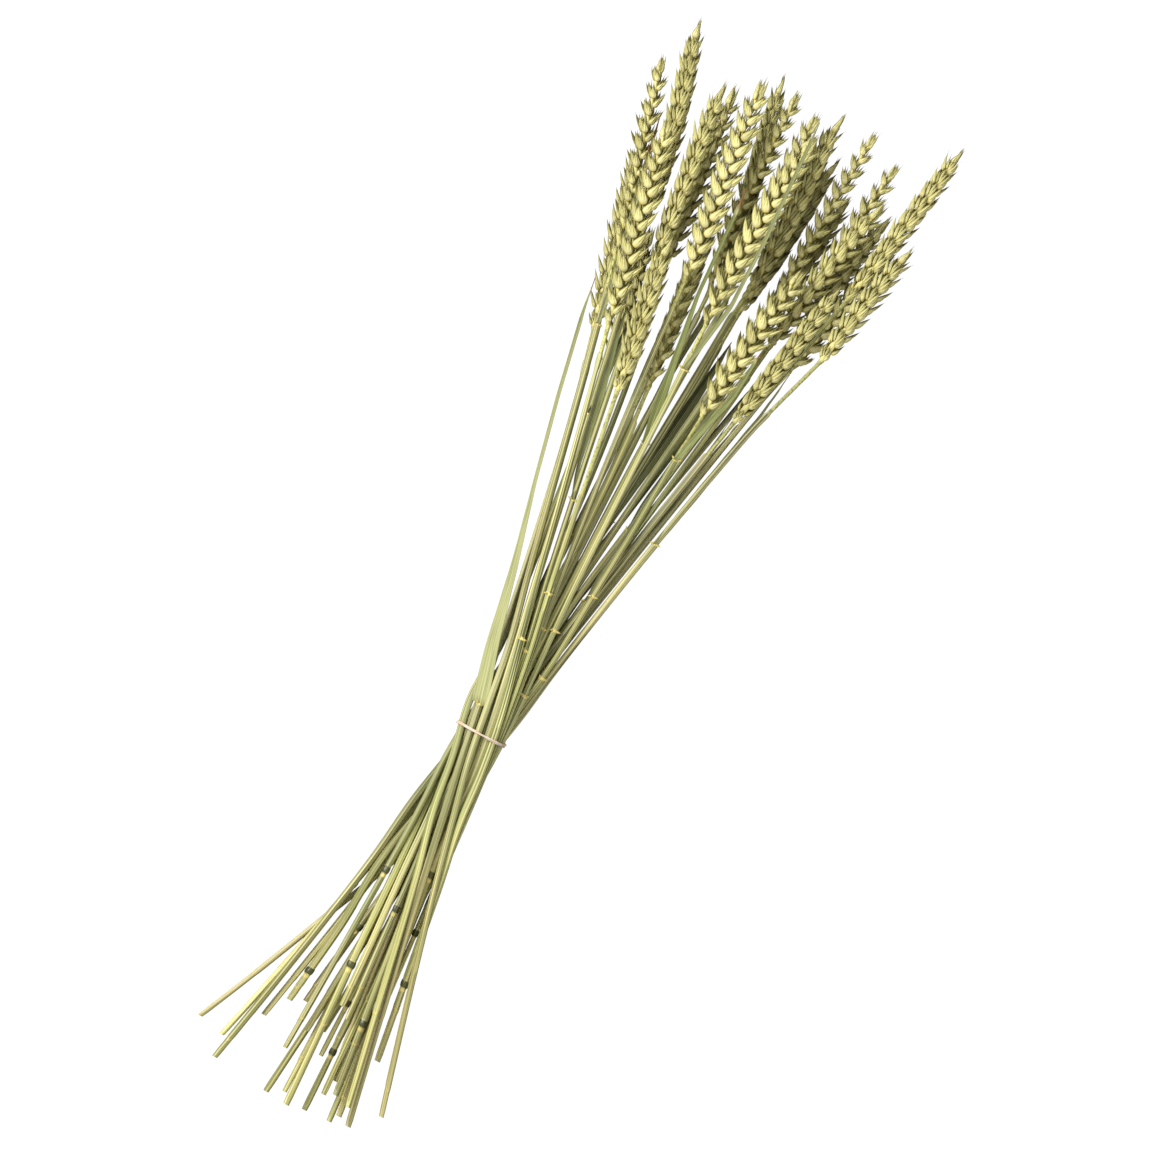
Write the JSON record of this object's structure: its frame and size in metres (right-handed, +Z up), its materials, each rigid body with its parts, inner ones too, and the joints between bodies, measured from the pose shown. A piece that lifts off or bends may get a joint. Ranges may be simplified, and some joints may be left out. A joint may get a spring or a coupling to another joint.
{
  "type": "bundle of dried wheat",
  "caption": "Dried wheat stalks with full beardless ears, tied round the waist with a thin elastic and laid on their side.",
  "frame": {"origin": "on the flat facet under the tie, on the surface that the bundle rests on", "axes": "+X along the bundle from the tie to the ears, +Y to its left seen with the ears at the top, +Z up from the surface"},
  "size_m": [0.6238, 0.1725, 0.0643],
  "materials": {
    "ear": "dry matt husk, pale straw green",
    "stem": "dry straw with fine lengthwise ribs, grey green",
    "tie": "matt elastic cord"
  },
  "bodies": {
    "root": {"ear_01": "ear", "stem_01": "stem", "ear_02": "ear", "stem_02": "stem", "ear_03": "ear", "stem_03": "stem", "ear_04": "ear", "stem_04": "stem", "ear_05": "ear", "stem_05": "stem", "ear_06": "ear", "stem_06": "stem", "ear_07": "ear", "stem_07": "stem", "ear_08": "ear", "stem_08": "stem", "ear_09": "ear", "stem_09": "stem", "ear_10": "ear", "stem_10": "stem", "ear_11": "ear", "stem_11": "stem", "ear_12": "ear", "stem_12": "stem", "ear_13": "ear", "stem_13": "stem", "ear_14": "ear", "stem_14": "stem", "ear_15": "ear", "stem_15": "stem", "ear_16": "ear", "stem_16": "stem", "ear_17": "ear", "stem_17": "stem", "ear_18": "ear", "stem_18": "stem", "ear_19": "ear", "stem_19": "stem", "ear_20": "ear", "stem_20": "stem", "ear_21": "ear", "stem_21": "stem", "ear_22": "ear", "stem_22": "stem", "ear_23": "ear", "stem_23": "stem", "ear_24": "ear", "stem_24": "stem", "ear_25": "ear", "stem_25": "stem", "ear_26": "ear", "stem_26": "stem", "ear_27": "ear", "stem_27": "stem", "tie": "tie"}
  },
  "joints": []
}
